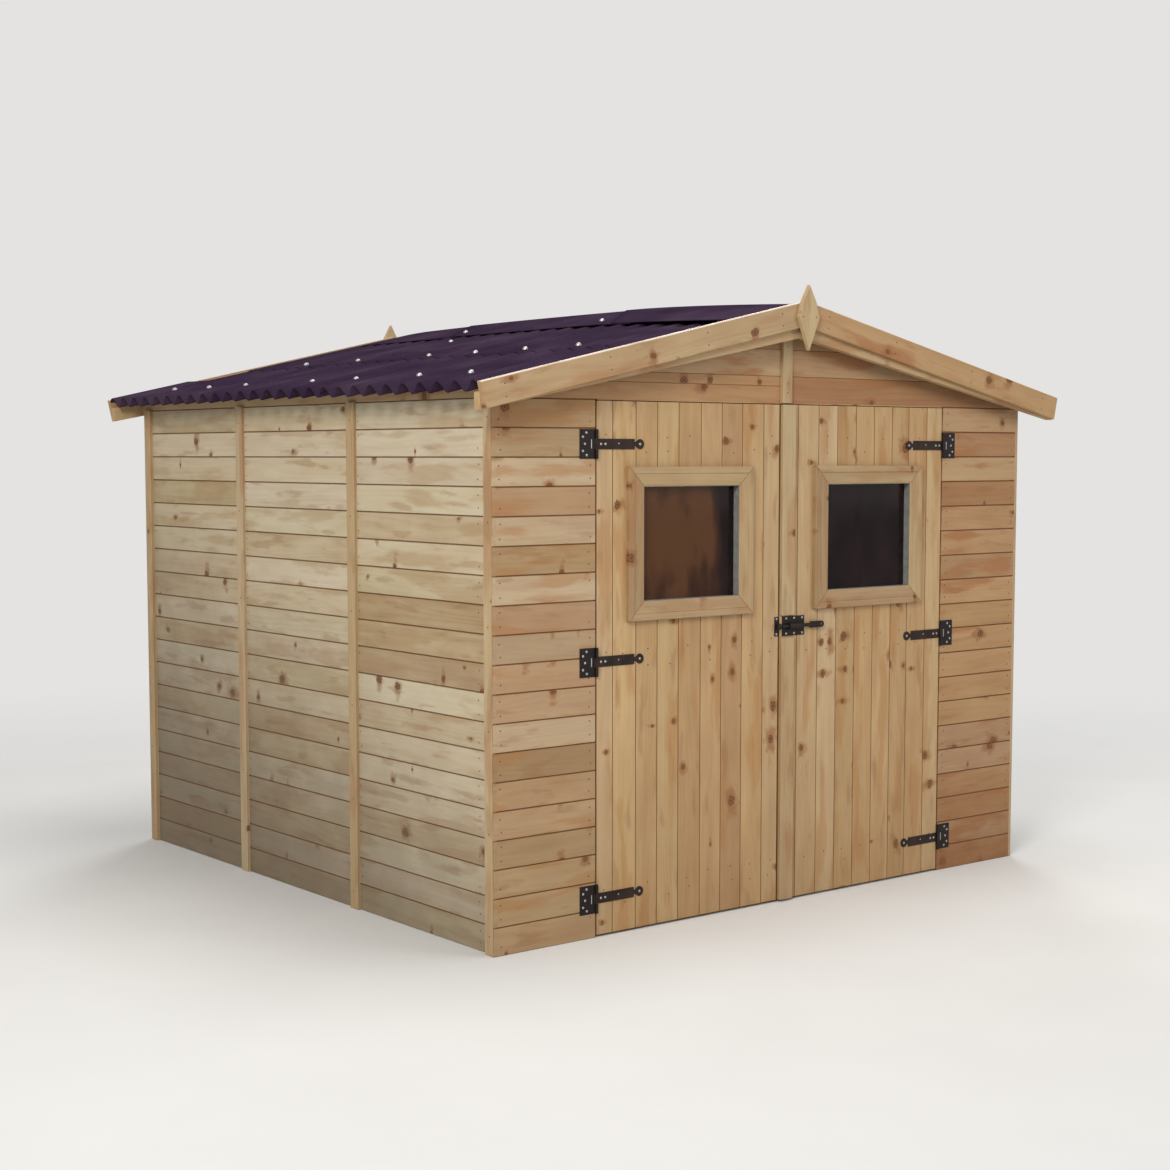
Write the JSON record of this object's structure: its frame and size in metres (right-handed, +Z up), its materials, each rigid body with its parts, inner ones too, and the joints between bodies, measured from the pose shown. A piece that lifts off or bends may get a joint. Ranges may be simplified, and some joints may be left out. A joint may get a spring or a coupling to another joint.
{
  "type": "wooden garden shed",
  "caption": "Timber-clad shed with a corrugated apex roof, paired windowed doors on T-hinges in the gable and a slide bolt.",
  "frame": {"origin": "on the ground under the middle of the shed", "axes": "+Z up, the doors face -Y, +X to the right seen from the doors"},
  "size_m": [2.656, 2.5902, 2.0996],
  "materials": {
    "cladding_timber": "planed pine boards, weathering tan",
    "trim_timber": "planed pine strips, pale yellow tan",
    "framing_timber": "sawn softwood battens",
    "roof_sheeting": "matt aubergine bitumen fibre sheet",
    "window_pane": "clear thin pane",
    "black_steel": "black powder coat",
    "bolt_steel": "black powder coat"
  },
  "bodies": {
    "shed": {"back_cover_strips": "trim_timber", "back_gable": "cladding_timber", "back_wall_panels": "cladding_timber", "bargeboard_back_left": "trim_timber", "bargeboard_back_right": "trim_timber", "bargeboard_front_left": "trim_timber", "bargeboard_front_right": "trim_timber", "finial_back": "trim_timber", "finial_front": "trim_timber", "front_gable": "cladding_timber", "front_gable_strip": "trim_timber", "front_wall_left": "cladding_timber", "front_wall_right": "cladding_timber", "gable_frames": "framing_timber", "left_cover_strips": "trim_timber", "left_hinge_plates": "black_steel", "left_wall_panels": "cladding_timber", "purlins": "framing_timber", "ridge_caps": "roof_sheeting", "right_cover_strips": "trim_timber", "right_hinge_plates": "black_steel", "right_wall_panels": "cladding_timber", "roof_sheet_left_lower": "roof_sheeting", "roof_sheet_left_upper": "roof_sheeting", "roof_sheet_right_lower": "roof_sheeting", "roof_sheet_right_upper": "roof_sheeting", "verge_battens": "trim_timber", "wall_posts": "framing_timber", "wall_rails": "framing_timber"},
    "left_door": {"left_door_boards": "cladding_timber", "left_door_ledges": "framing_timber", "left_window_frame": "trim_timber", "left_window_pane": "window_pane", "left_hinge_straps": "black_steel", "bolt_keep": "bolt_steel"},
    "right_door": {"right_door_boards": "cladding_timber", "right_door_ledges": "framing_timber", "right_window_frame": "trim_timber", "right_window_pane": "window_pane", "right_hinge_straps": "black_steel", "meeting_strips": "trim_timber", "bolt_plate": "bolt_steel"},
    "bolt": {"bolt_bar": "bolt_steel"}
  },
  "joints": [
    {"name": "left_door_hinge", "type": "hinge", "parent": "shed", "child": "left_door", "pos_m": [-0.8205, -1.1855, 0.884], "axis": [0, 0, -1], "range_deg": [0, 150]},
    {"name": "right_door_hinge", "type": "hinge", "parent": "shed", "child": "right_door", "pos_m": [0.7945, -1.1855, 0.884], "axis": [0, 0, 1], "range_deg": [0, 150]},
    {"name": "bolt_slide", "type": "slide", "parent": "right_door", "child": "bolt", "axis": [-1, 0, 0], "range_m": [0, 0.038]}
  ]
}
